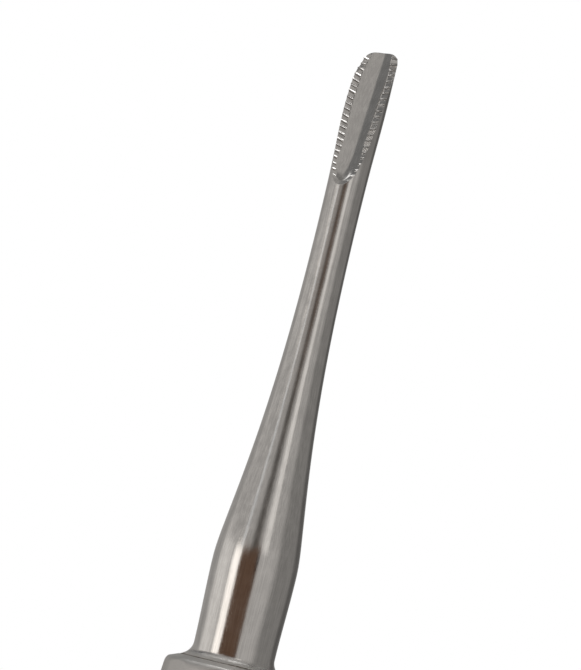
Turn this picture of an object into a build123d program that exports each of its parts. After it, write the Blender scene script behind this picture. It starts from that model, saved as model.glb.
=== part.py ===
from build123d import *
from math import atan, cos, degrees, radians, sin, sqrt, tan
import os

# Clay modeling tool: a steel gouge with a serrated trough, brazed into a hollow octagonal handle.
# Millimetres. +Z runs along the tool towards the gouge's nose, and the origin is the centre of the
# flat land on the butt that the tool stands on. The gouge opens towards -Y.

# ---------------------------------------------------------------- driving dimensions
HANDLE_LENGTH = 100.0      # butt to the plane where the shank's foot is seated
WORKING_LENGTH = 59.25     # seat plane to the nose

ROOT_RADIUS = 3.70         # shank just above its foot
BULGE_RADIUS = 3.875       # swelling that the fingertips rest against
BULGE_HEIGHT = 8.95
WAIST_RADIUS = 1.785       # slimmest point of the neck
WAIST_HEIGHT = 41.35
BLADE_RADIUS = 2.0         # round back of the blade near the nose
BLADE_ROOT_RADIUS = 1.82   # round back of the blade where the hollows start
BLADE_ROOT_HEIGHT = 45.35
BLADE_SWELL = 0.028        # radius that the back gains, per mm towards the nose, up to the blade's radius
NOSE_ROUNDING = 1.65       # height over which the back rounds in to the nose
NOSE_CURVE = ((0.97, 0.62), (0.78, 0.25), (0.48, 0.06))  # shares of the radius, and of the rounding
NECK_STATIONS = ((3.62, 12.05), (2.965, 17.35), (2.24, 25.35), (1.87, 33.85))  # radius, height
SWELL_STATIONS = ((1.86, 47.95), (1.98, 52.15))

FOOT_RADIUS = 4.45         # flared foot of the shank, with a thin upright edge
COVE_RADIUS = 1.28         # hollow curve from the shank out to the foot
COVE_TOP = 1.27            # height above the seat where the cove leaves the shank
COVE_MIDDLE_ANGLE = 35.0   # degrees round the cove to the point that fixes its arc
TANG_RADIUS = 2.5
TANG_LENGTH = 14.0
TANG_CHAMFER = 0.4

DISH_RADIUS = 4.2          # shallow hollow ground across the whole blade: its sides are the lands
DISH_SLOPE = 0.18          # fall of the hollow towards the back, per mm towards the nose
DISH_DEPTH_Y = -1.0        # y of the hollow's floor at its run-out height
DISH_RUN_OUT_HEIGHT = 47.25
DISH_RUN_OUT_RADIUS = 10.0
RUN_OUT_SWING = 60.0       # degrees that a cutter swings out through

ROLL_HEIGHT = 55.55        # from here to the nose the lands roll back
ROLL_RADIUS = 5.5
ROLL_Y = 0.02              # y of the rims where the roll starts

TROUGH_RADIUS = 2.1        # smooth trough between the two serrated lands
TROUGH_DEPTH = 0.24        # below the dish's floor
TROUGH_RUN_OUT_HEIGHT = 47.75
TROUGH_RUN_OUT_RADIUS = 8.0

TOOTH_PITCH = 0.63
TOOTH_COUNT = 19           # notches on each land
TOOTH_RADIUS = 0.40        # round section of a notch
TOOTH_DEPTH = 0.15
TOOTH_SLANTS = {-1: 20.0, 1: 2.0}   # side: degrees that its notches fall towards the handle, going inwards
TOOTH_OVERHANG = 0.5       # notch beyond the rim
RIM_STEPS = 30             # steps that settle the rim's place
LEAST_RIM = 0.2
TOOTH_END = 0.12           # notch beyond the land's inner edge
LAND_SLOPE = 20.0          # degrees that a land falls inwards
LAND_WIDTH = 0.64
FIRST_TOOTH_HEIGHT = 57.4

FLAT_AT_SHOULDER = 5.73    # axis to a flat of the octagon
FLAT_AT_TUBE = 6.17        # where the flaring bolster meets the tube
FLAT_AT_BUTT = 6.45
RIDGE_STAND = 0.12         # rounded ridges stand this far outside the flats
HANDLE_CLOCK = -7.0        # degrees that the octagon is turned from a ridge straight forwards
SEAT_RADIUS = 4.72         # flat land round the shank's foot
SHOULDER_FALL = 21.0       # degrees that the shoulder slopes back
SHOULDER_CORNER = 1.08     # height of the rounding between the shoulder and the handle's side
SHOULDER_CORNER_REACH = 0.4
BUTT_LAND_RADIUS = 3.6
BUTT_DOME_HEIGHT = 3.4

HEAD_LENGTH = 6.0          # octagonal part of the bolster and of the end cap
SPIGOT_LENGTH = 8.0
BORE_RADIUS = 4.65         # inside of the handle tube
BRAZE_GAP = 0.02           # radial gap that the filler metal creeps into
SEAM_THICKNESS = 0.15      # filler left between two butted edges
BEAD_WIDTH = 0.23          # bead of filler round the foot
BEAD_HEIGHT = 0.09

SEAT = HANDLE_LENGTH
NOSE = HANDLE_LENGTH + WORKING_LENGTH
HEAD_LOW = SEAT - HEAD_LENGTH
TUBE_LOW = HEAD_LENGTH + SEAM_THICKNESS
TUBE_HIGH = HEAD_LOW - SEAM_THICKNESS
REACH = 20.0               # length that carries a cutter clear of the blade
EIGHTH_TURN = radians(45)


def turned(edges):
    """A closed outline of radius and height, spun about the tool's axis."""
    return revolve(make_face(edges), Axis.Z)


def outline_point(radius, height):
    """A point of a turned outline."""
    return (radius, 0, height)


# ---------------------------------------------------------------- gouge and shank
def shank_blank():
    """The turned bar before the gouge is ground: tang, foot, bulge, neck, blade and rounded nose."""
    tang_end = SEAT - TANG_LENGTH
    cove_top = SEAT + COVE_TOP
    cove_centre = ROOT_RADIUS + COVE_RADIUS
    cove_drop = sqrt(COVE_RADIUS**2 - (cove_centre - FOOT_RADIUS) ** 2)
    foot_top = outline_point(FOOT_RADIUS, cove_top - cove_drop)
    middle_angle = radians(COVE_MIDDLE_ANGLE)
    cove_middle = outline_point(
        cove_centre - COVE_RADIUS * cos(middle_angle),
        cove_top - COVE_RADIUS * sin(middle_angle),
    )
    root = outline_point(ROOT_RADIUS, cove_top)
    bulge = outline_point(BULGE_RADIUS, SEAT + BULGE_HEIGHT)
    waist = outline_point(WAIST_RADIUS, SEAT + WAIST_HEIGHT)
    blade = outline_point(BLADE_RADIUS, NOSE - NOSE_ROUNDING)
    upwards = (0, 0, 1)

    foot = Polyline(
        outline_point(0, tang_end),
        outline_point(TANG_RADIUS - TANG_CHAMFER, tang_end),
        outline_point(TANG_RADIUS, tang_end + TANG_CHAMFER),
        outline_point(TANG_RADIUS, SEAT),
        outline_point(FOOT_RADIUS, SEAT),
        foot_top,
    )
    cove = ThreePointArc(foot_top, cove_middle, root)
    lower = Spline(root, bulge, tangents=[upwards, upwards])
    neck_points = [outline_point(radius, SEAT + height) for radius, height in NECK_STATIONS]
    neck = Spline(bulge, *neck_points, waist, tangents=[upwards, upwards])
    swell_points = [outline_point(radius, SEAT + height) for radius, height in SWELL_STATIONS]
    swell = Spline(waist, *swell_points, blade, tangents=[upwards, upwards])
    nose_points = [
        outline_point(width * BLADE_RADIUS, NOSE - fall * NOSE_ROUNDING) for width, fall in NOSE_CURVE
    ]
    nose = Spline(blade, *nose_points, outline_point(0, NOSE), tangents=[upwards, (-1, 0, 0)])
    axis_line = Line(outline_point(0, NOSE), outline_point(0, tang_end))
    return turned([foot, cove, lower, neck, swell, nose, axis_line])


def hollow_cutter(section_radius, depth, run_out_height, run_out_radius):
    """A round cutter that grinds a straight inclined hollow and swings out of the bar below it."""
    slope = atan(DISH_SLOPE)
    floor_y = DISH_DEPTH_Y + depth + DISH_SLOPE * (run_out_height - DISH_RUN_OUT_HEIGHT)
    floor_start = Vector(0, floor_y, SEAT + run_out_height)
    along = Vector(0, sin(slope), cos(slope))
    outwards = Vector(0, -cos(slope), sin(slope))
    section = Plane(floor_start + outwards * section_radius, x_dir=(1, 0, 0), z_dir=along)
    straight = extrude(section * Circle(section_radius), REACH)
    swing_centre = floor_start + outwards * run_out_radius
    swing = revolve(section * Circle(section_radius), Axis(swing_centre, (1, 0, 0)), -RUN_OUT_SWING)
    return straight + swing


def roll_y(height):
    """y of the rolled-back face of the lands at a height above the seat."""
    rise = max(0.0, height - ROLL_HEIGHT)
    return ROLL_Y + DISH_SLOPE * rise + rise**2 / (2 * ROLL_RADIUS)


def trough_floor(height):
    """y of the straight part of the trough's floor at a height above the seat."""
    return DISH_DEPTH_Y + TROUGH_DEPTH + DISH_SLOPE * (height - DISH_RUN_OUT_HEIGHT)


def roll_cutter():
    """The space in front of the lands near the nose, where they curve back as deep as the trough."""
    low = ROLL_HEIGHT
    high = low + sqrt(2 * ROLL_RADIUS * (trough_floor(low) - ROLL_Y))
    middle = 0.5 * (low + high)
    top = WORKING_LENGTH + 1
    face_points = [(0, roll_y(height), SEAT + height) for height in (low, middle, high)]
    face = ThreePointArc(*face_points)
    front = Polyline(
        face_points[2], (0, trough_floor(top), SEAT + top), (0, -REACH, SEAT + top),
        (0, -REACH, SEAT + low), face_points[0],
    )
    return extrude(make_face([face, front]), REACH, dir=(1, 0, 0), both=True)


def hollow_floor(height):
    """y of the dish's floor line at a height above the seat."""
    if height >= DISH_RUN_OUT_HEIGHT:
        return DISH_DEPTH_Y + DISH_SLOPE * (height - DISH_RUN_OUT_HEIGHT)
    slope = atan(DISH_SLOPE)
    centre_y = DISH_DEPTH_Y - DISH_RUN_OUT_RADIUS * cos(slope)
    centre_z = DISH_RUN_OUT_HEIGHT + DISH_RUN_OUT_RADIUS * sin(slope)
    return centre_y + sqrt(DISH_RUN_OUT_RADIUS**2 - (centre_z - height) ** 2)


def blade_radius(height):
    """Radius of the bar at a height above the seat, where the teeth are."""
    return min(BLADE_RADIUS, BLADE_ROOT_RADIUS + BLADE_SWELL * (height - BLADE_ROOT_HEIGHT))


def land_y(x, height):
    """y of the ground front between the notches: the deeper of the dish and the roll."""
    dish = hollow_floor(height) - DISH_RADIUS + sqrt(DISH_RADIUS**2 - x**2)
    return max(dish, roll_y(height)) if height > ROLL_HEIGHT else dish


def rim_half_width(height):
    """x of the rim, where the ground front meets the round back."""
    half_width = BLADE_ROOT_RADIUS
    for _ in range(RIM_STEPS):
        squared = blade_radius(height) ** 2 - land_y(half_width, height) ** 2
        half_width = sqrt(max(LEAST_RIM**2, squared))
    return half_width


def tooth_cutter(side, height):
    """A small round bar laid across one land, falling inwards with it and slanting to the handle."""
    middle_x = rim_half_width(height) - 0.5 * LAND_WIDTH
    middle_y = land_y(middle_x, height)
    tilt = radians(LAND_SLOPE)
    slant = radians(TOOTH_SLANTS[side])
    across = Vector(-side * cos(tilt) * cos(slant), sin(tilt) * cos(slant), -sin(slant))
    lift = Vector(side * -sin(tilt), -cos(tilt), 0) * (TOOTH_RADIUS - TOOTH_DEPTH)
    middle = Vector(side * middle_x, middle_y, SEAT + height) + lift
    start = Plane(middle - across * (0.5 * LAND_WIDTH + TOOTH_OVERHANG), z_dir=across)
    return extrude(start * Circle(TOOTH_RADIUS), TOOTH_OVERHANG + LAND_WIDTH + TOOTH_END)


def gouge_shank():
    """The forging: blank, then dish, trough, roll and one notch for each tooth gap on both lands."""
    body = shank_blank()
    body -= hollow_cutter(DISH_RADIUS, 0, DISH_RUN_OUT_HEIGHT, DISH_RUN_OUT_RADIUS)
    body -= hollow_cutter(TROUGH_RADIUS, TROUGH_DEPTH, TROUGH_RUN_OUT_HEIGHT, TROUGH_RUN_OUT_RADIUS)
    body -= roll_cutter()
    notches = []
    for number in range(TOOTH_COUNT):
        height = FIRST_TOOTH_HEIGHT - number * TOOTH_PITCH
        notches.append(tooth_cutter(1, height))
        notches.append(tooth_cutter(-1, height))
    return body - notches


def foot_braze_ring():
    """The bead of filler metal round the shank's foot, a ring of three-cornered section."""
    inner = FOOT_RADIUS + BRAZE_GAP
    bead = Polyline(
        outline_point(inner, SEAT),
        outline_point(inner + BEAD_WIDTH, SEAT),
        outline_point(inner, SEAT + BEAD_HEIGHT),
        close=True,
    )
    return turned([bead])


# ---------------------------------------------------------------- handle
def flat_distance(height):
    """Axis to a flat of the octagon at a height above the butt."""
    if height > HEAD_LOW:
        return FLAT_AT_TUBE + (FLAT_AT_SHOULDER - FLAT_AT_TUBE) * (height - HEAD_LOW) / HEAD_LENGTH
    return FLAT_AT_BUTT + (FLAT_AT_TUBE - FLAT_AT_BUTT) * height / HEAD_LOW


def tapered_octagon(low, high):
    """Eight flats between two heights, closer to the axis at the top."""
    low_flat = flat_distance(low)
    taper = degrees(atan((low_flat - flat_distance(high)) / (high - low)))
    section = RegularPolygon(low_flat / cos(EIGHTH_TURN / 2), 8)
    return Pos(0, 0, low) * extrude(section, high - low, taper=taper)


def handle_blank():
    """The whole outside of the handle: octagons inside a turned outline, which rounds their ridges."""
    fall = radians(SHOULDER_FALL)
    side_height = SEAT - SHOULDER_CORNER
    side_radius = flat_distance(side_height) + RIDGE_STAND
    corner_radius = side_radius - SHOULDER_CORNER_REACH
    corner_height = SEAT - (corner_radius - SEAT_RADIUS) * tan(fall)
    flare = atan((FLAT_AT_TUBE - FLAT_AT_SHOULDER) / HEAD_LENGTH)
    seat = Polyline(
        outline_point(0, SEAT), outline_point(SEAT_RADIUS, SEAT), outline_point(corner_radius, corner_height)
    )
    side_top = outline_point(side_radius, side_height)
    corner = Spline(
        outline_point(corner_radius, corner_height), side_top,
        tangents=[(cos(fall), 0, -sin(fall)), (sin(flare), 0, -cos(flare))],
    )
    dome_top = outline_point(FLAT_AT_BUTT + RIDGE_STAND, BUTT_DOME_HEIGHT)
    side = Polyline(side_top, outline_point(FLAT_AT_TUBE + RIDGE_STAND, HEAD_LOW), dome_top)
    dome = Spline(dome_top, outline_point(BUTT_LAND_RADIUS, 0), tangents=[(0, 0, -1), (-1, 0, 0)])
    butt = Polyline(outline_point(BUTT_LAND_RADIUS, 0), outline_point(0, 0), outline_point(0, SEAT))
    octagons = tapered_octagon(0, HEAD_LOW) + tapered_octagon(HEAD_LOW, SEAT)
    return Rot(0, 0, HANDLE_CLOCK) * (octagons & turned([seat, corner, side, dome, butt]))


def slice_between(body, low, high):
    """The part of a body between two heights."""
    thickness = high - low
    return body & Pos(0, 0, low + 0.5 * thickness) * Cylinder(3 * FLAT_AT_BUTT, thickness)


def rod(radius, low, high):
    """A round bar on the tool's axis between two heights."""
    return Pos(0, 0, 0.5 * (low + high)) * Cylinder(radius, high - low)


def bolster(blank):
    """Front plug: octagonal head with the sloping shoulder, spigot, and a bore for the tang."""
    spigot_low = TUBE_HIGH - SPIGOT_LENGTH
    head = slice_between(blank, HEAD_LOW, SEAT)
    spigot = rod(BORE_RADIUS - BRAZE_GAP, spigot_low, SEAT - 0.5 * HEAD_LENGTH)
    return head + spigot - rod(TANG_RADIUS + BRAZE_GAP, spigot_low - 1, SEAT + 1)


def end_cap(blank):
    """Butt plug: domed octagonal head with a flat land to stand on, and a hollowed spigot."""
    spigot_high = TUBE_LOW + SPIGOT_LENGTH
    head = slice_between(blank, 0, HEAD_LENGTH)
    spigot = rod(BORE_RADIUS - BRAZE_GAP, 0.5 * HEAD_LENGTH, spigot_high)
    return head + spigot - rod(TANG_RADIUS, HEAD_LENGTH, spigot_high + 1)


def handle_tube(blank):
    """The hollow octagonal grip."""
    return slice_between(blank, TUBE_LOW, TUBE_HIGH) - rod(BORE_RADIUS, 0, SEAT)


def seam_ring(blank, low):
    """The thin octagonal line of filler between the tube's end and a head, round the spigot."""
    ring = slice_between(blank, low, low + SEAM_THICKNESS)
    return ring - rod(BORE_RADIUS, low - 1, low + 1)


HANDLE_BLANK = handle_blank()
NODES = {
    "gouge_shank": gouge_shank(),
    "foot_braze_ring": foot_braze_ring(),
    "bolster": bolster(HANDLE_BLANK),
    "front_seam_ring": seam_ring(HANDLE_BLANK, TUBE_HIGH),
    "handle_tube": handle_tube(HANDLE_BLANK),
    "rear_seam_ring": seam_ring(HANDLE_BLANK, HEAD_LENGTH),
    "end_cap": end_cap(HANDLE_BLANK),
}

os.makedirs("parts", exist_ok=True)
for name, shape in NODES.items():
    shape.label = name
    export_step(shape, f"parts/{name}.step")
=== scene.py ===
"""Clay modeling tool: the looks of a serrated steel gouge brazed into a hollow octagonal handle."""

import logging
import math
from dataclasses import dataclass, field
from enum import Enum

import bpy
import numpy as np
from mathutils import Matrix, Vector

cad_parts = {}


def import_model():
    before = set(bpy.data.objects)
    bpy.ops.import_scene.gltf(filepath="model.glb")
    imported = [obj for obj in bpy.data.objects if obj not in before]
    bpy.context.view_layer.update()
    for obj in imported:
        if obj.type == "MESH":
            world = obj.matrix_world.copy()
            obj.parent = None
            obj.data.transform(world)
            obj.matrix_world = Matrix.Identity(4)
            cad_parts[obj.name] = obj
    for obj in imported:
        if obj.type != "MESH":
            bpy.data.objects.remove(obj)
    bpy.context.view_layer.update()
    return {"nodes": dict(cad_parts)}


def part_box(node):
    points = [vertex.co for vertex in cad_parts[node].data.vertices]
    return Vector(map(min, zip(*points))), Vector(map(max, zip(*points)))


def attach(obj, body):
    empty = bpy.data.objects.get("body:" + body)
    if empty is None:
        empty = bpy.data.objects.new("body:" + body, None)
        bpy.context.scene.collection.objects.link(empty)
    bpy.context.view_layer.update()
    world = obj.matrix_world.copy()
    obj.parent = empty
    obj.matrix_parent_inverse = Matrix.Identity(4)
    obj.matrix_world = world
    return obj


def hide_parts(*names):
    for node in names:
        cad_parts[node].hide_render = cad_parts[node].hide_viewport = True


LOG = logging.getLogger("clay_tool")
MM = 0.001
SHARP_EDGE = 38.0
FAR_IN_FRONT = -50.0
HALVINGS = 36


# ---------------------------------------------------------------- named choices
class Slot(Enum):
    """The record's material slots."""

    POLISHED_STEEL = "polished_steel"
    HANDLE_STEEL = "handle_steel"
    BRAZE_FILLER = "braze_filler"


class Closing(Enum):
    """How a stack of rings ends."""

    POLES = "each end closes in a point"
    LOOP = "the last ring joins the first"


# ---------------------------------------------------------------- surfaces
def clamped_spline(knots: np.ndarray, values: np.ndarray, at: np.ndarray) -> np.ndarray:
    """Cubic spline through the knots that is level at both ends.

    The slopes m solve m[i-1]/h[i-1] + 2 m[i] (1/h[i-1] + 1/h[i]) + m[i+1]/h[i] = 3 (rise[i-1]/h[i-1]^2
    + rise[i]/h[i]^2), and between two knots the curve is the Hermite cubic of their values and slopes.

    Args:
        knots: increasing places.
        values: the curve's value at each knot.
        at: places to work the curve out at.

    Returns:
        The curve's value at each place.
    """
    step = np.diff(knots)
    rise = np.diff(values)
    count = len(knots)
    matrix = np.eye(count)
    right = np.zeros(count)
    inner = np.arange(1, count - 1)
    matrix[inner, inner - 1] = 1 / step[:-1]
    matrix[inner, inner] = 2 * (1 / step[:-1] + 1 / step[1:])
    matrix[inner, inner + 1] = 1 / step[1:]
    right[inner] = 3 * (rise[:-1] / step[:-1] ** 2 + rise[1:] / step[1:] ** 2)
    slope = np.linalg.solve(matrix, right)
    place = np.clip(np.searchsorted(knots, at) - 1, 0, count - 2)
    h = step[place]
    t = (at - knots[place]) / h
    return (
        values[place] * (1 + 2 * t) * (1 - t) ** 2
        + slope[place] * h * t * (1 - t) ** 2
        + values[place + 1] * t * t * (3 - 2 * t)
        + slope[place + 1] * h * t * t * (t - 1)
    )


def soft_step(value: np.ndarray, low: float, high: float) -> np.ndarray:
    """Rises from 0 at low to 1 at high along 3 t^2 - 2 t^3."""
    t = np.clip((value - low) / (high - low), 0.0, 1.0)
    return t * t * (3 - 2 * t)


def soft_min(first: np.ndarray, second: np.ndarray, blend: float) -> np.ndarray:
    """The smaller of two heights, rounded where they cross: (a + b - sqrt((a - b)^2 + blend^2)) / 2."""
    return 0.5 * (first + second - np.sqrt((first - second) ** 2 + blend * blend))


def ring_mesh(name: str, rings: np.ndarray, closing: Closing) -> bpy.types.Object:
    """Makes a closed surface from rings of points stacked along a route.

    Ring i's point j joins ring i + 1's point j, and point j + 1, so the surface is a grid that wraps
    round. The end rings are points, or the last ring joins the first.

    Args:
        name: the new object's name.
        rings: places in millimetres, shaped (rings, points, 3), each ring turning anticlockwise about
            the way the stack runs.
        closing: how the ends are closed.

    Returns:
        The object, at the origin, in metres.
    """
    ring_count, point_count, _ = rings.shape
    if closing is Closing.POLES:
        body = rings[1:-1]
        ring_count = len(body)
        tips = np.array([rings[0].mean(axis=0), rings[-1].mean(axis=0)])
        points = np.concatenate([body.reshape(-1, 3), tips])
    else:
        points = rings.reshape(-1, 3)
    index = np.arange(ring_count * point_count).reshape(ring_count, point_count)
    if closing is Closing.LOOP:
        index = np.concatenate([index, index[:1]])
    here, after = index[:-1], index[1:]
    quads = np.stack([here, np.roll(here, -1, 1), np.roll(after, -1, 1), after], axis=-1).reshape(-1, 4)
    corners = quads.ravel()
    starts = np.arange(len(quads)) * 4
    if closing is Closing.POLES:
        low_tip, high_tip = len(points) - 2, len(points) - 1
        first, last = index[0], index[-1]
        low_fan = np.stack([np.full(point_count, low_tip), np.roll(first, -1), first], axis=-1)
        high_fan = np.stack([last, np.roll(last, -1), np.full(point_count, high_tip)], axis=-1)
        fans = np.concatenate([low_fan, high_fan])
        starts = np.concatenate([starts, len(corners) + np.arange(len(fans)) * 3])
        corners = np.concatenate([corners, fans.ravel()])
    mesh = bpy.data.meshes.new(name)
    mesh.vertices.add(len(points))
    mesh.vertices.foreach_set("co", (points * MM).astype(np.float32).ravel())
    mesh.loops.add(len(corners))
    mesh.loops.foreach_set("vertex_index", corners.astype(np.int32))
    mesh.polygons.add(len(starts))
    mesh.polygons.foreach_set("loop_start", starts.astype(np.int32))
    mesh.polygons.foreach_set("use_smooth", np.ones(len(starts), dtype=bool))
    mesh.update(calc_edges=True)
    mesh.validate()
    mesh.set_sharp_from_angle(angle=math.radians(SHARP_EDGE))
    made = bpy.data.objects.new(name, mesh)
    bpy.context.scene.collection.objects.link(made)
    return made


def turned_rings(radius: np.ndarray, height: np.ndarray, angle: np.ndarray) -> np.ndarray:
    """Rings on the tool's axis: (r cos a, r sin a, z), with r either one number a ring or a whole grid."""
    spread = radius if radius.ndim == 2 else radius[:, None] + 0 * angle[None, :]
    z = np.broadcast_to(height[:, None], spread.shape)
    return np.stack([spread * np.cos(angle), spread * np.sin(angle), z], axis=-1)


def place_piece(piece: bpy.types.Object, material: bpy.types.Material, slot: Slot, *nodes: str) -> None:
    """Dresses a piece, rides it on the tool and lets it stand for its CAD nodes.

    Args:
        piece: the finished object.
        material: its finish.
        slot: the record's slot that the finish belongs to; not used.
        nodes: the CAD nodes that it stands for.
    """
    piece.data.materials.clear()
    piece.data.materials.append(material)
    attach(piece, "root")
    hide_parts(*nodes)
    LOG.info("%s: %d faces, stands for %s", piece.name, len(piece.data.polygons), ", ".join(nodes))


# ---------------------------------------------------------------- node helper
class Sheet:
    """A node tree with short calls for the nodes used here."""

    def __init__(self, tree: bpy.types.NodeTree) -> None:
        """Keeps the tree and empties it."""
        self.tree = tree
        tree.nodes.clear()

    def node(self, kind: str, **settings: object) -> bpy.types.Node:
        """Adds a node of a kind and sets its properties."""
        made = self.tree.nodes.new(kind)
        for key, value in settings.items():
            setattr(made, key, value)
        return made

    def join(self, source: bpy.types.NodeSocket, target: bpy.types.NodeSocket) -> None:
        """Links an output to an input."""
        self.tree.links.new(source, target)

    def feed(self, target: bpy.types.NodeSocket, value: object) -> None:
        """Links a socket, or sets a number or colour, on an input."""
        if isinstance(value, bpy.types.NodeSocket):
            self.join(value, target)
        else:
            target.default_value = value

    def math(self, operation: str, first: object, second: object = 0.0) -> bpy.types.NodeSocket:
        """One arithmetic step."""
        made = self.node("ShaderNodeMath", operation=operation)
        self.feed(made.inputs[0], first)
        self.feed(made.inputs[1], second)
        return made.outputs[0]

    def ramp(self, value: object, source: tuple[float, float], result: tuple[float, float],
             smooth: bool = True) -> bpy.types.NodeSocket:
        """Carries a value from one range to another, clamped.

        Args:
            value: the number to carry over.
            source: range that it comes from.
            result: range that it goes to.
            smooth: eases both ends of the range.

        Returns:
            The carried value.
        """
        made = self.node("ShaderNodeMapRange", interpolation_type="SMOOTHSTEP" if smooth else "LINEAR")
        self.feed(made.inputs["Value"], value)
        made.inputs["From Min"].default_value, made.inputs["From Max"].default_value = source
        made.inputs["To Min"].default_value, made.inputs["To Max"].default_value = result
        return made.outputs["Result"]

    def mix(self, share: object, first: object, second: object) -> bpy.types.NodeSocket:
        """Mixes two colours."""
        made = self.node("ShaderNodeMix", data_type="RGBA")
        self.feed(made.inputs[0], share)
        self.feed(made.inputs[6], first)
        self.feed(made.inputs[7], second)
        return made.outputs[2]

    def noise(self, place: bpy.types.NodeSocket, scale: tuple[float, float, float], detail: float = 2.0,
              ) -> bpy.types.NodeSocket:
        """Noise on a stretched copy of a place.

        Args:
            place: coordinates in metres.
            scale: noise cells per metre along X, Y and Z.
            detail: octaves.

        Returns:
            Noise about 0.5.
        """
        stretch = self.node("ShaderNodeMapping")
        stretch.inputs["Scale"].default_value = scale
        self.join(place, stretch.inputs["Vector"])
        made = self.node("ShaderNodeTexNoise")
        made.inputs["Scale"].default_value = 1.0
        made.inputs["Detail"].default_value = detail
        self.join(stretch.outputs["Vector"], made.inputs["Vector"])
        return made.outputs["Fac"]

    def bump(self, height: bpy.types.NodeSocket, depth: float, under: bpy.types.NodeSocket | None = None,
             ) -> bpy.types.NodeSocket:
        """Raises the surface by a height, on top of another bump if there is one.

        Args:
            height: share of the depth at each place.
            depth: metres between a height of 0 and of 1.
            under: the normal that another bump gave.

        Returns:
            The changed normal.
        """
        made = self.node("ShaderNodeBump")
        made.inputs["Distance"].default_value = depth
        self.join(height, made.inputs["Height"])
        if under is not None:
            self.join(under, made.inputs["Normal"])
        return made.outputs["Normal"]

    def surface(self, shader: bpy.types.NodeSocket, kind: str = "ShaderNodeOutputMaterial") -> None:
        """Makes a shader the tree's result."""
        self.join(shader, self.node(kind).inputs["Surface"])


# ---------------------------------------------------------------- finishes
@dataclass(frozen=True)
class SteelFinish:
    """Satin stainless steel with fine lines, faint cloudy patches and a light bump."""

    name: str
    colour: tuple[float, float, float]
    roughness: float
    line_cells: tuple[float, float, float]
    line_depth: float = 0.0000030
    pit_cells: float = 3500.0
    pit_depth: float = 0.0000020
    roughness_spread: float = 0.05
    patch_cells: float = 900.0
    patch_contrast: float = 0.09
    matte_from: float | None = None
    matte_depth: float = 0.0006
    matte_fray: float = 0.0012
    matte_roughness: float = 0.5
    noise_range: tuple[float, float] = (0.35, 0.65)
    line_share: float = 0.6

    def material(self) -> bpy.types.Material:
        """Builds the finish on Object coordinates."""
        made = bpy.data.materials.new(self.name)
        made.use_nodes = True
        sheet = Sheet(made.node_tree)
        place = sheet.node("ShaderNodeTexCoord").outputs["Object"]
        lines = sheet.noise(place, self.line_cells, 3.0)
        patches = sheet.noise(place, (self.patch_cells,) * 3, 4.0)
        dark = tuple(c * (1 - self.patch_contrast) for c in self.colour) + (1.0,)
        light = tuple(min(1.0, c * (1 + self.patch_contrast)) for c in self.colour) + (1.0,)
        tint = sheet.math("ADD", sheet.math("MULTIPLY", lines, self.line_share),
                          sheet.math("MULTIPLY", patches, 1.0 - self.line_share))
        clouded = sheet.ramp(tint, self.noise_range, (0.0, 1.0))
        shader = sheet.node("ShaderNodeBsdfPrincipled")
        sheet.join(sheet.mix(clouded, dark, light), shader.inputs["Base Color"])
        shader.inputs["Metallic"].default_value = 1.0
        spread = self.roughness_spread
        wear = sheet.math("ADD", sheet.math("MULTIPLY", lines, 0.5), sheet.math("MULTIPLY", patches, 0.5))
        rough = sheet.ramp(wear, self.noise_range, (self.roughness - spread, self.roughness + spread),
                           smooth=False)
        if self.matte_from is not None:
            rough = self.matte_foot(sheet, place, patches, rough)
        sheet.join(rough, shader.inputs["Roughness"])
        lined = sheet.bump(lines, self.line_depth)
        pitted = sheet.bump(sheet.noise(place, (self.pit_cells,) * 3, 3.0), self.pit_depth, lined)
        sheet.join(pitted, shader.inputs["Normal"])
        sheet.surface(shader.outputs["BSDF"])
        return made

    def matte_foot(self, sheet: Sheet, place: bpy.types.NodeSocket, patches: bpy.types.NodeSocket,
                   rough: bpy.types.NodeSocket) -> bpy.types.NodeSocket:
        """Roughens the steel below a height, where the torch and the abrasive have been.

        Args:
            sheet: the material's node sheet.
            place: Object coordinates.
            patches: cloudy noise that frays the edge.
            rough: roughness elsewhere.

        Returns:
            The roughness with the matte part blended in.
        """
        parts = sheet.node("ShaderNodeSeparateXYZ")
        sheet.join(place, parts.inputs["Vector"])
        fray = sheet.math("MULTIPLY", sheet.math("SUBTRACT", patches, 0.5), self.matte_fray)
        height = sheet.math("ADD", parts.outputs["Z"], fray)
        share = sheet.ramp(height, (self.matte_from - self.matte_depth, self.matte_from), (1.0, 0.0))
        extra = sheet.math("MULTIPLY", share, self.matte_roughness)
        return sheet.math("ADD", rough, extra)


@dataclass(frozen=True)
class BrazeFinish:
    """Dull, tarnished filler metal with a pitted skin."""

    name: str = "braze filler"
    bright: tuple[float, float, float] = (0.36, 0.33, 0.29)
    dark: tuple[float, float, float] = (0.10, 0.085, 0.07)
    pit_cells: float = 6000.0
    pit_depth: float = 0.00002

    def material(self) -> bpy.types.Material:
        """Builds the finish on Object coordinates."""
        made = bpy.data.materials.new(self.name)
        made.use_nodes = True
        sheet = Sheet(made.node_tree)
        place = sheet.node("ShaderNodeTexCoord").outputs["Object"]
        pits = sheet.noise(place, (self.pit_cells,) * 3, 4.0)
        shader = sheet.node("ShaderNodeBsdfPrincipled")
        share = sheet.ramp(pits, (0.4, 0.62), (0.0, 1.0))
        sheet.join(sheet.mix(share, self.dark + (1.0,), self.bright + (1.0,)), shader.inputs["Base Color"])
        shader.inputs["Metallic"].default_value = 0.9
        sheet.join(sheet.ramp(pits, (0.3, 0.7), (0.75, 0.55)), shader.inputs["Roughness"])
        sheet.join(sheet.bump(pits, self.pit_depth), shader.inputs["Normal"])
        sheet.surface(shader.outputs["BSDF"])
        return made


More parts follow.
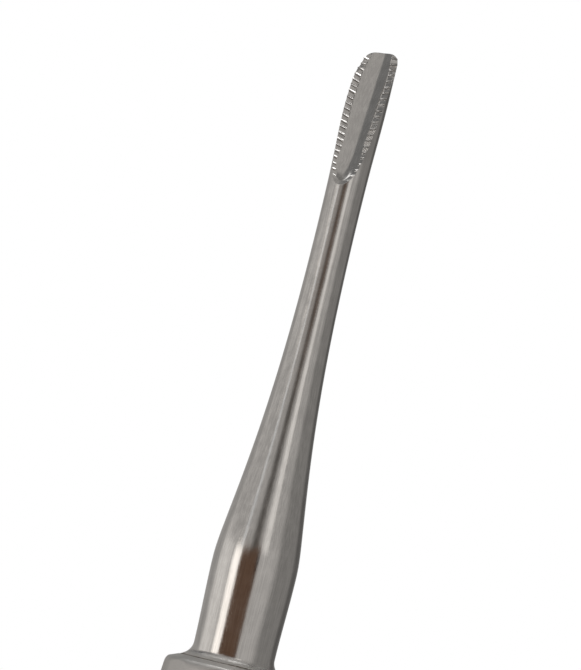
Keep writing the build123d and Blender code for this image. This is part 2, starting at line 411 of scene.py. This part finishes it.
# ---------------------------------------------------------------- gouge
@dataclass
class Hollow:
    """A round hollow ground along the blade, with a curved run-out at its lower end.

    Its floor line is straight above the run-out height, rising by `slope` a millimetre, and below it
    an arc that is tangent to that line. Across the blade it is a circular arc.
    """

    section_radius: float
    floor_y: float
    slope: float
    run_out_height: float
    run_out_radius: float

    def floor(self, height: np.ndarray) -> np.ndarray:
        """y of the floor line at each height above the seat."""
        tilt = math.atan(self.slope)
        straight = self.floor_y + self.slope * (height - self.run_out_height)
        centre_y = self.floor_y - self.run_out_radius * math.cos(tilt)
        centre_z = self.run_out_height + self.run_out_radius * math.sin(tilt)
        reach = self.run_out_radius**2 - (centre_z - height) ** 2
        arc = centre_y + np.sqrt(np.maximum(reach, 0.0))
        arc = np.where(reach > 0, arc, FAR_IN_FRONT)
        return np.where(height >= self.run_out_height, straight, arc)

    def depth(self, x: np.ndarray, height: np.ndarray) -> np.ndarray:
        """y of the hollow's skin: floor - (r - sqrt(r^2 - x^2)), and far in front beyond its width."""
        inside = self.section_radius**2 - x * x
        sag = self.section_radius - np.sqrt(np.maximum(inside, 0.0))
        return np.where(inside > 0, self.floor(height) - sag, FAR_IN_FRONT)


@dataclass
class Serration:
    """Hand-cut teeth across both lands, each a crest undercut below, with a slope towards the nose."""

    pitch: float = 0.63
    first: float = 58.88
    last: float = 44.9
    depth: float = 0.12
    land: tuple[float, float] = (0.66, 0.80)
    slant: tuple[float, float] = (0.34, 0.04)
    face_share: float = 0.31
    undercut_share: float = 0.16
    undercut_depth: float = 0.86
    burr: float = 0.03
    burr_middle: float = 49.6
    burr_spread: float = 2.0
    stagger: float = 0.2
    depth_range: tuple[float, float] = (0.85, 1.15)
    length_range: tuple[float, float] = (0.88, 1.08)
    lowest_share: float = 0.35
    fade_length: float = 5.0
    seed: int = 7

    def profile(self, along: np.ndarray) -> np.ndarray:
        """Share of the full depth at a share of the pitch below a crest.

        Just below the crest the cut drops most of the way at once; then it deepens gently; over the last
        `face_share` of the pitch it rises to the next crest.
        """
        under = soft_step(along, 0.0, self.undercut_share)
        scoop = soft_step(along, self.undercut_share, 1.0 - self.face_share)
        fall = self.undercut_depth * under + (1.0 - self.undercut_depth) * scoop
        return fall * (1.0 - soft_step(along, 1.0 - self.face_share, 1.0))

    def cut(self, x: np.ndarray, rim: np.ndarray, height: np.ndarray) -> np.ndarray:
        """How much deeper the land is at each place.

        The share of the pitch below a crest is (first - height - slant inward) / pitch, less its whole
        part, where inward is the distance from the rim. Sums of sines shift the teeth a little and
        roughen the right land about the burr; each tooth's depth and length come from a seeded draw.

        Args:
            x: places across the blade, signed.
            rim: half width of the blade at each place's height.
            height: heights above the seat.

        Returns:
            The added depth in millimetres.
        """
        draw = np.random.default_rng(self.seed)
        count = int((self.first - self.last) / self.pitch) + 6
        side = (x > 0).astype(int)
        inward = rim - np.abs(x)
        slant = np.array(self.slant)[side]
        land = np.array(self.land)[side]
        wander = 0.03 * np.sin(2.9 * height + 2.0 * side) + 0.02 * np.sin(6.1 * height + 4.0 * inward)
        phase = (self.first - height - slant * inward + wander) / self.pitch + self.stagger * side
        tooth = np.clip(np.floor(phase).astype(int), 0, count - 1)
        deep = draw.uniform(*self.depth_range, (2, count))[side, tooth]
        long = draw.uniform(*self.length_range, (2, count))[side, tooth]
        rough = soft_step(self.burr_spread - np.abs(height - self.burr_middle), 0.0, 1.2) * side
        waves = np.sin(23.0 * height + 9.0 * inward) * np.sin(31.0 * inward - 11.0 * height)
        scoop = self.depth * deep * self.profile(phase - np.floor(phase)) + self.burr * rough * waves
        inner_end = soft_step(land * long - inward, -0.04, 0.08)
        rise = soft_step(height, self.last, self.last + self.fade_length)
        fade = self.lowest_share + (1.0 - self.lowest_share) * rise
        ends = soft_step(self.first - height, -0.1, 0.3) * soft_step(height - self.last, 0.0, 1.2)
        return np.maximum(scoop, 0.0) * inner_end * ends * fade


@dataclass
class RolledNose:
    """The lands' face near the nose: y = start + slope rise + rise^2 / 2r above the starting height."""

    height: float = 55.55
    start_y: float = 0.02
    slope: float = 0.18
    radius: float = 5.5

    def face(self, height: np.ndarray) -> np.ndarray:
        """y of the rolled face, far in front of the tool below its start."""
        rise = np.maximum(height - self.height, 0.0)
        rolled = self.start_y + self.slope * rise + rise**2 / (2 * self.radius)
        return np.where(height > self.height, rolled, FAR_IN_FRONT)


@dataclass
class GougeShank:
    """The forging: tang, foot, bulge, neck and the serrated trough blade. Heights are above the seat."""

    seat: float
    length: float = 59.25
    tang_radius: float = 2.5
    tang_length: float = 14.0
    tang_chamfer: float = 0.4
    foot_radius: float = 4.45
    cove_radius: float = 1.28
    cove_top: float = 1.27
    cove_rows: int = 36
    foot_slope: float = 21.0
    filed_cove_radius: float = 0.55
    filed_middle: float = 12.0
    filed_half_width: float = 76.0
    filed_soft: float = 26.0
    nose_rounding: float = 1.65
    nose_fullness: float = 2.7
    nose_step: float = 0.35
    step_end: float = 58.55
    heights: tuple[float, ...] = (1.27, 4.4, 8.95, 12.05, 17.35, 25.35, 33.85, 41.35, 47.95, 52.15, 57.6)
    radii: tuple[float, ...] = (3.70, 3.765, 3.875, 3.62, 2.965, 2.24, 1.87, 1.785, 1.86, 1.98, 2.0)
    dish: Hollow = field(default_factory=lambda: Hollow(4.2, -1.0, 0.18, 47.25, 10.0))
    trough: Hollow = field(default_factory=lambda: Hollow(2.1, -0.67, 0.18, 47.75, 8.0))
    roll: RolledNose = field(default_factory=RolledNose)
    serration: Serration = field(default_factory=Serration)
    front_columns: int = 130
    back_columns: int = 40
    blade_low: float = 43.8
    blade_rows: int = 420
    neck_rows: int = 96
    nose_rows: int = 45
    narrowest_front: float = 35.0
    thinnest_nose: float = 0.004

    def outline(self) -> tuple[np.ndarray, np.ndarray]:
        """The turned outline, from the tang's end to the nose.

        The nose is the curve R (1 - s^n)^(1/n) of the share s of its height.

        Returns:
            Radius and height above the seat of each ring.
        """
        tang = np.array([
            (0.0, -self.tang_length), (self.tang_radius - self.tang_chamfer, -self.tang_length),
            (self.tang_radius, -self.tang_length + self.tang_chamfer), (self.tang_radius, 0.0),
            (self.foot_radius, 0.0),
        ])
        cove_z = np.linspace(self.foot_top(), self.cove_top, self.cove_rows)
        cove = np.stack([self.cove(cove_z, np.array(self.cove_radius)), cove_z], axis=1)
        neck_z = np.linspace(self.cove_top, self.blade_low, self.neck_rows)[1:]
        blade_z = np.linspace(self.blade_low, self.length - self.nose_rounding, self.blade_rows)[1:]
        heights, radii = np.array(self.heights), np.array(self.radii)
        z = np.concatenate([neck_z, blade_z])
        body = np.stack([self.body_radius(z), z], axis=1)
        share = np.linspace(0.0, 0.5 * math.pi, self.nose_rows + 1)[1:]
        power = 2.0 / self.nose_fullness
        nose = np.stack([radii[-1] * np.cos(share) ** power,
                         heights[-1] + self.nose_rounding * np.sin(share) ** power], axis=1)
        rings = np.concatenate([tang, cove, body, nose])
        return rings[:, 0], rings[:, 1]

    def foot_top(self) -> float:
        """Height of the foot's thin upright edge, where the cove's arc reaches the foot's radius."""
        centre = self.radii[0] + self.cove_radius
        return self.cove_top - math.sqrt(self.cove_radius**2 - (centre - self.foot_radius) ** 2)

    def cove(self, height: np.ndarray, hollow: np.ndarray) -> np.ndarray:
        """Radius of the shank above its foot, for a cove of a given hollow radius.

        From the foot's edge the skin climbs a cone at the foot's slope, and leaves it along an arc that
        ends upright on the root: root + c - sqrt(c^2 - (top - z)^2).

        Args:
            height: heights above the seat.
            hollow: the cove's radius c at each place.

        Returns:
            The radius at each place.
        """
        slope = math.radians(self.foot_slope)
        root = self.radii[0]
        cone_end = root + hollow * (1 - math.sin(slope))
        cone_end = np.minimum(cone_end, self.foot_radius)
        join = self.foot_top() + (self.foot_radius - cone_end) * math.tan(slope)
        top = join + hollow * math.cos(slope)
        down = np.clip(top - height, 0.0, hollow)
        arc = root + hollow - np.sqrt(np.maximum(hollow**2 - down**2, 0.0))
        cone = self.foot_radius - (height - self.foot_top()) / math.tan(slope)
        return np.where(height < join, np.minimum(cone, self.foot_radius), np.minimum(arc, self.foot_radius))

    def filed(self, flat: np.ndarray, height: np.ndarray) -> np.ndarray:
        """Tightens the cove on the front, where it was filed closer to the shoulder.

        Each ring point keeps its direction and takes the radius of a cove whose hollow radius changes
        round the shank.

        Args:
            flat: x and y of the rings, shaped (rings, points, 2).
            height: each ring's height.

        Returns:
            The changed x and y.
        """
        turn = np.degrees(np.arctan2(flat[..., 0], -flat[..., 1]))
        away = np.abs(turn - self.filed_middle)
        share = 1.0 - soft_step(away, self.filed_half_width - self.filed_soft, self.filed_half_width)
        hollow = self.cove_radius + (self.filed_cove_radius - self.cove_radius) * share
        tall = np.broadcast_to(height[:, None], turn.shape)
        factor = self.cove(tall, hollow) / self.cove(tall, np.full_like(turn, self.cove_radius))
        in_cove = (tall >= self.foot_top()) & (tall <= self.cove_top)
        return flat * np.where(in_cove, factor, 1.0)[..., None]

    def body_radius(self, height: np.ndarray) -> np.ndarray:
        """Radius of the round bar: splines level at root, bulge, waist and where the nose starts."""
        knots, values = np.array(self.heights), np.array(self.radii)
        bulge, waist = 2, 7
        spans = ((0, bulge), (bulge, waist), (waist, len(knots) - 1))
        result = np.zeros_like(height)
        for low, high in spans:
            part = clamped_spline(knots[low:high + 1], values[low:high + 1],
                                  np.clip(height, knots[low], knots[high]))
            result = np.where(height >= knots[low], part, result)
        return result

    def hollow_skin(self, x: np.ndarray, rim: np.ndarray, height: np.ndarray) -> np.ndarray:
        """y of the ground front: the deepest of the notched lands, rolled at the nose, and the trough."""
        lands = np.maximum(self.dish.depth(x, height), self.rolled(height))
        return np.maximum(lands + self.serration.cut(x, rim, height), self.trough.depth(x, height))

    def rolled(self, height: np.ndarray) -> np.ndarray:
        """y of the rolled face, a step above the trough's floor that dies out at the very nose."""
        step = self.nose_step * (1.0 - soft_step(height, self.step_end, self.length))
        return np.minimum(self.roll.face(height), self.trough.floor(height) - step)

    def smooth_skin(self, x: np.ndarray, height: np.ndarray) -> np.ndarray:
        """y of the ground front without its teeth."""
        lands = np.maximum(self.dish.depth(x, height), self.rolled(height))
        return np.maximum(lands, self.trough.depth(x, height))

    def rim(self, radius: np.ndarray, height: np.ndarray) -> tuple[np.ndarray, np.ndarray, np.ndarray]:
        """Where the ground front meets the round back, by halving: x^2 + y(x)^2 = R^2.

        Args:
            radius: the bar's radius at each ring.
            height: each ring's height.

        Returns:
            The half width on the left and on the right, and the one without teeth, zero where the bar
            is still whole.
        """
        widths = []
        plain = np.zeros_like(radius)
        for toothed, side in ((False, 1.0), (True, -1.0), (True, 1.0)):
            low, high = np.zeros_like(radius), radius.copy()
            for _ in range(HALVINGS):
                middle = 0.5 * (low + high)
                x = side * middle
                y = self.hollow_skin(x, plain, height) if toothed else self.smooth_skin(x, height)
                outside = middle**2 + y * y > radius**2
                high = np.where(outside, middle, high)
                low = np.where(outside, low, middle)
            whole = self.dish.floor(height) < -radius
            found = np.where(whole, 0.0, low)
            if toothed:
                widths.append(found)
            else:
                plain = found
        return widths[0], widths[1], plain

    def rim_angle(self, width: np.ndarray, plain: np.ndarray, radius: np.ndarray,
                  height: np.ndarray) -> np.ndarray:
        """Angle from straight forwards round to a rim, never less than the narrowest front.

        Args:
            width: half width of the ground front at each ring.
            plain: the half width without teeth.
            radius: the bar's radius at each ring.
            height: each ring's height.

        Returns:
            The angle in radians.
        """
        y = np.maximum(-np.sqrt(np.maximum(radius**2 - width**2, 0.0)), -radius)
        back = self.hollow_skin(width, plain, height) > 0
        y = np.where(back & (width > 0), np.sqrt(np.maximum(radius**2 - width**2, 0.0)), y)
        near_nose = height > self.length - self.nose_rounding
        least = np.where(near_nose, 0.0, math.radians(self.narrowest_front))
        return np.maximum(np.arctan2(width, -y), least)

    def rings(self) -> np.ndarray:
        """All rings of the forging.

        Each ring has a front and a back. The back is the arc of radius R from the right rim round to the
        left rim. The front runs back from the left rim to the right one, and its y is the larger of
        -sqrt(R^2 - x^2) and the ground front.

        Returns:
            Places in millimetres, shaped (rings, points, 3).
        """
        radius, height = self.outline()
        left, right, plain = self.rim(radius, height)
        alive = radius > self.smooth_skin(0.0 * height, height) + self.thinnest_nose
        alive |= height < self.length - self.nose_rounding
        radius, height, left, right = radius[alive], height[alive], left[alive], right[alive]
        plain = plain[alive]
        turn_left = self.rim_angle(left, plain, radius, height)
        turn_right = self.rim_angle(right, plain, radius, height)
        share = np.linspace(0.0, 1.0, self.back_columns, endpoint=False)
        angle = turn_right[:, None] + (2 * math.pi - turn_right - turn_left)[:, None] * share[None, :]
        back = np.stack([radius[:, None] * np.sin(angle), -radius[:, None] * np.cos(angle)], axis=-1)
        across = np.linspace(0.0, 1.0, self.front_columns, endpoint=False)
        x_left = -radius * np.sin(turn_left)
        x_right = radius * np.sin(turn_right)
        x = x_left[:, None] + (x_right - x_left)[:, None] * across[None, :]
        grid_height = np.broadcast_to(height[:, None], x.shape)
        skin = self.hollow_skin(x, np.broadcast_to(plain[:, None], x.shape), grid_height)
        bar = -np.sqrt(np.maximum(radius[:, None] ** 2 - x * x, 0.0))
        y = np.maximum(bar, skin)
        y[:, 0] = -radius * np.cos(turn_left)
        front = np.stack([x, y], axis=-1)
        flat = self.filed(np.concatenate([back, front], axis=1), height)
        z = np.broadcast_to((self.seat + height)[:, None, None], flat.shape[:2] + (1,))
        stacked = np.concatenate([flat, z], axis=-1)
        tip = stacked[-1].mean(axis=0) + 0 * stacked[-1]
        return np.concatenate([stacked, tip[None]])

    def build(self, finish: bpy.types.Material) -> bpy.types.Object:
        """Makes and dresses the forging."""
        piece = ring_mesh("gouge_forging", self.rings(), Closing.POLES)
        place_piece(piece, finish, Slot.POLISHED_STEEL, "gouge_shank")
        return piece


# ---------------------------------------------------------------- handle
@dataclass
class OctagonHandle:
    """The handle's parts: a tapered octagon with rounded ridges, a sloping shoulder and a domed butt."""

    seat: float
    flat_at_butt: float = 6.45
    flat_at_tube: float = 6.17
    flat_at_shoulder: float = 5.73
    ridge_stand: float = 0.12
    clock: float = -7.0
    seat_radius: float = 4.72
    shoulder_fall: float = 21.0
    shoulder_corner: float = 1.08
    shoulder_reach: float = 0.4
    butt_land: float = 3.6
    dome_height: float = 3.4
    head_length: float = 6.0
    spigot_length: float = 8.0
    bore: float = 4.65
    gap: float = 0.02
    tang_hole: float = 2.52
    seam: float = 0.15
    edge_softness: float = 0.05
    columns: int = 320

    def angles(self) -> np.ndarray:
        """Angle of each column about the axis."""
        return np.linspace(0.0, 2 * math.pi, self.columns, endpoint=False)

    def flat(self, height: np.ndarray) -> np.ndarray:
        """Axis to a flat at each height: straight from butt to bolster, then straight to the shoulder."""
        stations = [0.0, self.seat - self.head_length, self.seat]
        return np.interp(height, stations, [self.flat_at_butt, self.flat_at_tube, self.flat_at_shoulder])

    def skin(self, turned: np.ndarray, height: np.ndarray) -> np.ndarray:
        """Radius of the octagon inside a turned outline: the softer minimum of r and flat / cos(a)."""
        off = np.mod(self.angles() - math.radians(self.clock), math.pi / 4) - math.pi / 8
        flats = self.flat(height)[:, None] / np.cos(off)[None, :]
        blend = np.minimum(self.edge_softness, 0.02 * turned)[:, None]
        return soft_min(turned[:, None] + 0 * flats, flats, blend)

    def shoulder(self) -> tuple[np.ndarray, np.ndarray]:
        """Turned outline of the shoulder, from the side up to the seat, its corner a quarter of a bend."""
        side_z = self.seat - self.shoulder_corner
        side_r = float(self.ridge(np.array(side_z)))
        fall = math.radians(self.shoulder_fall)
        flare = math.atan((self.flat_at_tube - self.flat_at_shoulder) / self.head_length)
        corner_r = side_r - self.shoulder_reach
        corner_z = self.seat - (corner_r - self.seat_radius) * math.tan(fall)
        ends = np.array([[side_r, side_z], [corner_r, corner_z]])
        reach = math.dist(*ends) / 3
        pulls = reach * np.array([[-math.sin(flare), math.cos(flare)], [math.cos(fall), -math.sin(fall)]])
        t = np.linspace(0.0, 1.0, 16)[:, None]
        first, last = ends
        bend = (first * (1 - t) ** 3 + 3 * (first + pulls[0]) * t * (1 - t) ** 2
                + 3 * (last + pulls[1]) * t * t * (1 - t) + last * t**3)
        slope_r = np.linspace(corner_r, self.seat_radius, 8)[1:]
        slope_z = self.seat - (slope_r - self.seat_radius) * math.tan(fall)
        slope = np.stack([slope_r, slope_z], axis=1)
        joined = np.concatenate([bend, slope])
        return joined[:, 0], joined[:, 1]

    def ridge(self, height: np.ndarray) -> np.ndarray:
        """Radius of the turned outline along the handle's side."""
        return self.flat(height) + self.ridge_stand

    def stack(self, pieces: list[tuple[np.ndarray, np.ndarray, bool]]) -> np.ndarray:
        """Rings of a handle part.

        Args:
            pieces: stretches of outline: radii, heights, and whether the octagon cuts them.

        Returns:
            Places in millimetres, shaped (rings, points, 3).
        """
        grids = []
        for radius, height, cut in pieces:
            grid = self.skin(radius, height) if cut else radius[:, None] + np.zeros((1, self.columns))
            grids.append(turned_rings(grid, height, self.angles()))
        return np.concatenate(grids)

    def bolster(self, finish: bpy.types.Material) -> bpy.types.Object:
        """Front plug: spigot, octagonal head, sloping shoulder, and the bore for the tang."""
        low = self.seat - self.head_length
        spigot_low = low - self.seam - self.spigot_length
        side_r, side_z = self.shoulder()
        head_z = np.concatenate([[low, low + 0.02, low + 0.08], np.linspace(low + 0.2, side_z[0], 24)[:-1]])
        eased_edge = np.array([-0.10, -0.05, 0.0])
        head_r = self.ridge(head_z)
        head_r[:len(eased_edge)] += eased_edge
        spigot = self.bore - self.gap
        rings = self.stack([
            (np.array([self.tang_hole, spigot, spigot]), np.array([spigot_low, spigot_low, low]), False),
            (head_r, head_z, True),
            (side_r, side_z, True),
            (np.array([self.tang_hole, self.tang_hole]), np.array([self.seat, spigot_low + 0.5]), False),
        ])
        piece = ring_mesh("bolster_plug", rings, Closing.LOOP)
        place_piece(piece, finish, Slot.HANDLE_STEEL, "bolster")
        return piece

    def tube(self, finish: bpy.types.Material) -> bpy.types.Object:
        """The hollow grip, its ends eased."""
        low = self.head_length + self.seam
        high = self.seat - self.head_length - self.seam
        z = np.concatenate([[low, low + 0.08], np.linspace(low + 0.4, high - 0.4, 60), [high - 0.08, high]])
        radius = self.ridge(z)
        rings = self.stack([
            (radius, z, True),
            (np.array([self.bore, self.bore]), np.array([high, low]), False),
        ])
        piece = ring_mesh("grip_tube", rings, Closing.LOOP)
        place_piece(piece, finish, Slot.HANDLE_STEEL, "handle_tube")
        return piece

    def end_cap(self, finish: bpy.types.Material) -> bpy.types.Object:
        """Butt plug: flat land, dome, octagonal head and a hollowed spigot."""
        ridge = self.flat_at_butt + self.ridge_stand
        t = np.linspace(0.0, 0.5 * math.pi, 22)
        dome_r = self.butt_land + (ridge - self.butt_land) * np.sin(t) ** 0.9
        dome_z = self.dome_height * (1 - np.cos(t) ** 0.9)
        side_z = np.linspace(self.dome_height, self.head_length, 10)[1:]
        spigot = self.bore - self.gap
        top = self.head_length + self.seam + self.spigot_length
        rings = self.stack([
            (np.array([0.0, 1.8]), np.array([0.0, 0.0]), False),
            (np.concatenate([dome_r, self.ridge(side_z)]), np.concatenate([dome_z, side_z]), True),
            (np.array([spigot, spigot, self.tang_hole, self.tang_hole, 0.0]),
             np.array([self.head_length, top, top, self.head_length, self.head_length]), False),
        ])
        piece = ring_mesh("butt_cap", rings, Closing.POLES)
        place_piece(piece, finish, Slot.HANDLE_STEEL, "end_cap")
        return piece


@dataclass
class FootBead:
    """The uneven bead of filler round the shank's foot."""

    seat: float
    inner: float = 4.45
    width: float = 0.25
    height: float = 0.09
    usual_size: float = 0.72
    ripple_size: float = 0.16
    smallest_size: float = 0.25
    columns: int = 360
    seed: int = 3

    def build(self, finish: bpy.types.Material) -> bpy.types.Object:
        """Makes the bead: a quarter round carried round the foot, its size varied by summed waves."""
        draw = np.random.default_rng(self.seed)
        angle = np.linspace(0.0, 2 * math.pi, self.columns, endpoint=False)
        waves = np.arange(3, 40)
        amount = draw.normal(0.0, 1.0, len(waves)) / waves**0.7
        start = draw.uniform(0.0, 2 * math.pi, len(waves))
        ripple = (amount[:, None] * np.sin(waves[:, None] * angle + start[:, None])).sum(axis=0)
        size = np.clip(self.usual_size + self.ripple_size * ripple / ripple.std(), self.smallest_size, 1.0)
        turn = np.linspace(0.0, 0.5 * math.pi, 7)
        out = np.concatenate([[0.0], np.cos(turn)])
        up = np.concatenate([[0.0], np.sin(turn)])
        radius = self.inner + self.width * out[:, None] * size[None, :]
        z = self.seat + self.height * up[:, None] * size[None, :]
        rings = np.stack([radius * np.cos(angle), radius * np.sin(angle), z], axis=-1)
        piece = ring_mesh("foot_bead", rings, Closing.LOOP)
        place_piece(piece, finish, Slot.BRAZE_FILLER, "foot_braze_ring")
        return piece


# ---------------------------------------------------------------- studio
@dataclass(frozen=True)
class Card:
    """A soft-edged panel of the studio's surroundings, which lights the tool and shows in its metal.

    Azimuths are degrees to the right of the camera's side of the object, elevations above the horizon.
    """

    name: str
    azimuth: float
    half_width: float
    azimuth_soft: float
    elevation: float
    half_height: float
    elevation_soft: float
    colour: tuple[float, float, float]


def grey(level: float, warmth: float = 0.03) -> tuple[float, float, float]:
    """A slightly warm grey of a brightness."""
    return (level * (1 + warmth), level, level * (1 - warmth))


@dataclass
class Studio:
    """Floor, surroundings, lamp and camera. The cards are patterned, and later ones cover earlier ones."""

    seat: float
    camera_azimuth: float = 22.0
    camera_distance: float = 0.17166
    camera_pitch: float = 9.878
    camera_roll: float = 13.655
    camera_lift: float = 0.000385
    camera_yaw: float = -0.597
    lens: float = 102.09
    floor_radius: float = 0.9
    # brightness of the floor's painted reflection: the even grey glow that glossy rays see in place of the
    # lit floor
    painted_floor_reflection: float = 0.2
    lamp_place: tuple[float, float, float] = (-0.35, -0.35, 0.85)
    lamp_aim: tuple[float, float, float] = (0.0, 0.0, 0.05)
    lamp_size: float = 0.6
    lamp_watts: float = 6.0
    base: tuple[float, float, float] = grey(0.47)
    cards: tuple[Card, ...] = (
        Card("right wall", 122, 62, 9, 0, 60, 5, grey(0.27)),
        Card("right corner", 141, 17, 8, 0, 60, 5, grey(0.13)),
        Card("left wall", -92, 22, 14, 0, 12, 1, grey(0.84)),
        Card("window line", -48, 2.5, 3, 0, 27, 3, grey(0.9, -0.02)),
        Card("window", -54, 10.5, 3, 0, 11.8, 1, grey(1.6, 0.05)),
        Card("far left", -146, 24, 10, 0, 27, 3, grey(0.39)),
        Card("dark gap", -12.5, 9.5, 7.5, 0, 27, 3, grey(0.12, 0.06)),
        Card("bright strip", 18, 9, 7, 0, 27, 3, grey(0.95)),
        Card("pale panel", 30, 22, 4, 0, 11.8, 1, grey(0.55)),
        Card("wooden strip", -19, 24.5, 1.5, 0, 12.3, 0.8, (0.135, 0.078, 0.050)),
        Card("strip head", -3, 9.5, 5, 0, 13.8, 0.8, (0.135, 0.078, 0.050)),
        Card("shadow line", 3.8, 3.0, 0.7, 6.5, 4.6, 1.0, (0.003, 0.001, 0.003)),
        Card("cool wall", -120, 62, 2.5, 40, 18, 3, grey(0.22, 0.0)),
        Card("high panel", -108, 16, 4, 54, 8, 2, grey(1.7, 0.0)),
        Card("dark ceiling", 0, 400, 1, 90, 30, 3, grey(0.22)),
        Card("overhead lamp", 0, 400, 1, 90, 15, 2, grey(3.2, 0.0)),
    )

    def surroundings(self) -> None:
        """Lights the scene: white for the camera, cards for the metal."""
        world = bpy.data.worlds.new("studio")
        bpy.context.scene.world = world
        world.use_nodes = True
        sheet = Sheet(world.node_tree)
        direction = sheet.node("ShaderNodeTexCoord").outputs["Generated"]
        turn = sheet.node("ShaderNodeVectorRotate", rotation_type="Z_AXIS")
        turn.inputs["Angle"].default_value = math.radians(-self.camera_azimuth)
        sheet.join(direction, turn.inputs["Vector"])
        parts = sheet.node("ShaderNodeSeparateXYZ")
        sheet.join(turn.outputs["Vector"], parts.inputs["Vector"])
        x, y, z = parts.outputs
        azimuth = sheet.math("DEGREES", sheet.math("ARCTAN2", x, sheet.math("MULTIPLY", y, -1.0)))
        elevation = sheet.math("DEGREES", sheet.math("ARCSINE", z))
        colour: object = self.base + (1.0,)
        for card in self.cards:
            beside = sheet.math("ABSOLUTE", sheet.math("SUBTRACT", azimuth, float(card.azimuth)))
            above = sheet.math("ABSOLUTE", sheet.math("SUBTRACT", elevation, float(card.elevation)))
            wide = sheet.ramp(beside, (card.half_width - card.azimuth_soft,
                                       card.half_width + card.azimuth_soft), (1.0, 0.0))
            tall = sheet.ramp(above, (card.half_height - card.elevation_soft,
                                      card.half_height + card.elevation_soft), (1.0, 0.0))
            colour = sheet.mix(sheet.math("MULTIPLY", wide, tall), colour, card.colour + (1.0,))
        seen = sheet.node("ShaderNodeLightPath").outputs["Is Camera Ray"]
        shown = sheet.mix(seen, colour, (1.0, 1.0, 1.0, 1.0))
        glow = sheet.node("ShaderNodeBackground")
        sheet.join(shown, glow.inputs["Color"])
        sheet.surface(glow.outputs["Background"], "ShaderNodeOutputWorld")
        LOG.info("surroundings: %d cards", len(self.cards))

    def floor(self) -> bpy.types.Object:
        """A plain pale disc that the tool stands on; in glossy rays it glows an even dark grey instead, a
        painted reflection that darkens the metal where it mirrors the floor.
        """
        angle = np.linspace(0.0, 2 * math.pi, 96, endpoint=False)
        rim = np.stack([np.cos(angle), np.sin(angle), 0 * angle], axis=1) * self.floor_radius
        mesh = bpy.data.meshes.new("floor")
        mesh.from_pydata(rim.tolist(), [], [list(range(len(rim)))])
        made = bpy.data.objects.new("floor", mesh)
        bpy.context.scene.collection.objects.link(made)
        material = bpy.data.materials.new("pale floor")
        material.use_nodes = True
        sheet = Sheet(material.node_tree)
        place = sheet.node("ShaderNodeTexCoord").outputs["Object"]
        mottle = sheet.noise(place, (40.0, 40.0, 40.0), 5.0)
        shader = sheet.node("ShaderNodeBsdfPrincipled")
        sheet.join(sheet.mix(mottle, (0.80, 0.80, 0.795, 1.0), (0.83, 0.83, 0.825, 1.0)),
                   shader.inputs["Base Color"])
        shader.inputs["Roughness"].default_value = 0.6
        # Painted reflection: glossy rays see the floor as an even dark grey glow, not as the lit pale floor.
        shade = sheet.node("ShaderNodeEmission")
        shade.inputs["Color"].default_value = grey(self.painted_floor_reflection) + (1.0,)
        choice = sheet.node("ShaderNodeMixShader")
        sheet.join(sheet.node("ShaderNodeLightPath").outputs["Is Glossy Ray"], choice.inputs[0])
        sheet.join(shader.outputs["BSDF"], choice.inputs[1])
        sheet.join(shade.outputs["Emission"], choice.inputs[2])
        sheet.surface(choice.outputs["Shader"])
        mesh.materials.append(material)
        return made

    def lamp(self) -> None:
        """A large soft lamp overhead and to the left, kept out of the metal."""
        data = bpy.data.lights.new("soft lamp", "AREA")
        data.shape = "DISK"
        data.size = self.lamp_size
        data.energy = self.lamp_watts
        lamp = bpy.data.objects.new("soft lamp", data)
        bpy.context.scene.collection.objects.link(lamp)
        lamp.location = self.lamp_place
        aim = Vector(self.lamp_aim) - lamp.location
        lamp.rotation_euler = aim.to_track_quat("-Z", "Y").to_euler()
        lamp.visible_glossy = False
        lamp.visible_camera = False

    def camera(self) -> None:
        """Puts the camera level with the seat, looking up at the blade and rolled so that the tool leans."""
        azimuth = math.radians(self.camera_azimuth)
        pitch, roll, yaw = (math.radians(v) for v in (self.camera_pitch, self.camera_roll, self.camera_yaw))
        ahead = Vector((-math.sin(azimuth), math.cos(azimuth), 0.0))
        side = Vector((math.cos(azimuth), math.sin(azimuth), 0.0))
        place = -ahead * self.camera_distance + Vector((0.0, 0.0, self.seat * MM + self.camera_lift))
        level = ahead * math.cos(yaw) + side * math.sin(yaw)
        right = side * math.cos(yaw) - ahead * math.sin(yaw)
        forward = level * math.cos(pitch) + Vector((0.0, 0.0, math.sin(pitch)))
        up = right.cross(forward)
        image_right = right * math.cos(roll) + up * math.sin(roll)
        image_up = up * math.cos(roll) - right * math.sin(roll)
        data = bpy.data.cameras.new("camera")
        data.lens = self.lens
        data.sensor_width = 36.0
        data.clip_start = 0.01
        data.clip_end = 20.0
        camera = bpy.data.objects.new("camera", data)
        bpy.context.scene.collection.objects.link(camera)
        turn = Matrix((image_right, image_up, -forward)).transposed()
        camera.matrix_world = Matrix.Translation(place) @ turn.to_4x4()
        bpy.context.scene.camera = camera

    def build(self) -> None:
        """Makes the whole studio."""
        self.surroundings()
        self.floor()
        self.lamp()
        self.camera()
        view = bpy.context.scene.view_settings
        view.view_transform = "Standard"
        view.look = "None"


def main() -> None:
    """Builds the studio and the tool around the frame."""
    logging.basicConfig(level=logging.INFO, format="%(name)s %(message)s")
    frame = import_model()
    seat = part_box("bolster")[1].z / MM
    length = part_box("gouge_shank")[1].z / MM - seat
    Studio(seat).build()

    tone = (0.60, 0.585, 0.565)
    steel = SteelFinish("polished steel", tone, 0.15, (9000.0, 9000.0, 450.0), roughness_spread=0.03,
                        matte_from=(seat + 0.75) * MM).material()
    grip = SteelFinish("handle steel", tone, 0.50, (2500.0, 2500.0, 9000.0), line_depth=0.0000010,
                       pit_depth=0.0000010, patch_contrast=0.05).material()
    filler = BrazeFinish().material()

    GougeShank(seat).build(steel)
    handle = OctagonHandle(seat)
    handle.bolster(grip)
    handle.tube(grip)
    handle.end_cap(grip)
    FootBead(seat).build(filler)
    for name in ("front_seam_ring", "rear_seam_ring"):
        ring = frame["nodes"][name]
        ring.data.materials.clear()
        ring.data.materials.append(filler)
    LOG.info("seat %.3f mm, working end %.3f mm", seat, length)


if __name__ == "__main__":
    main()
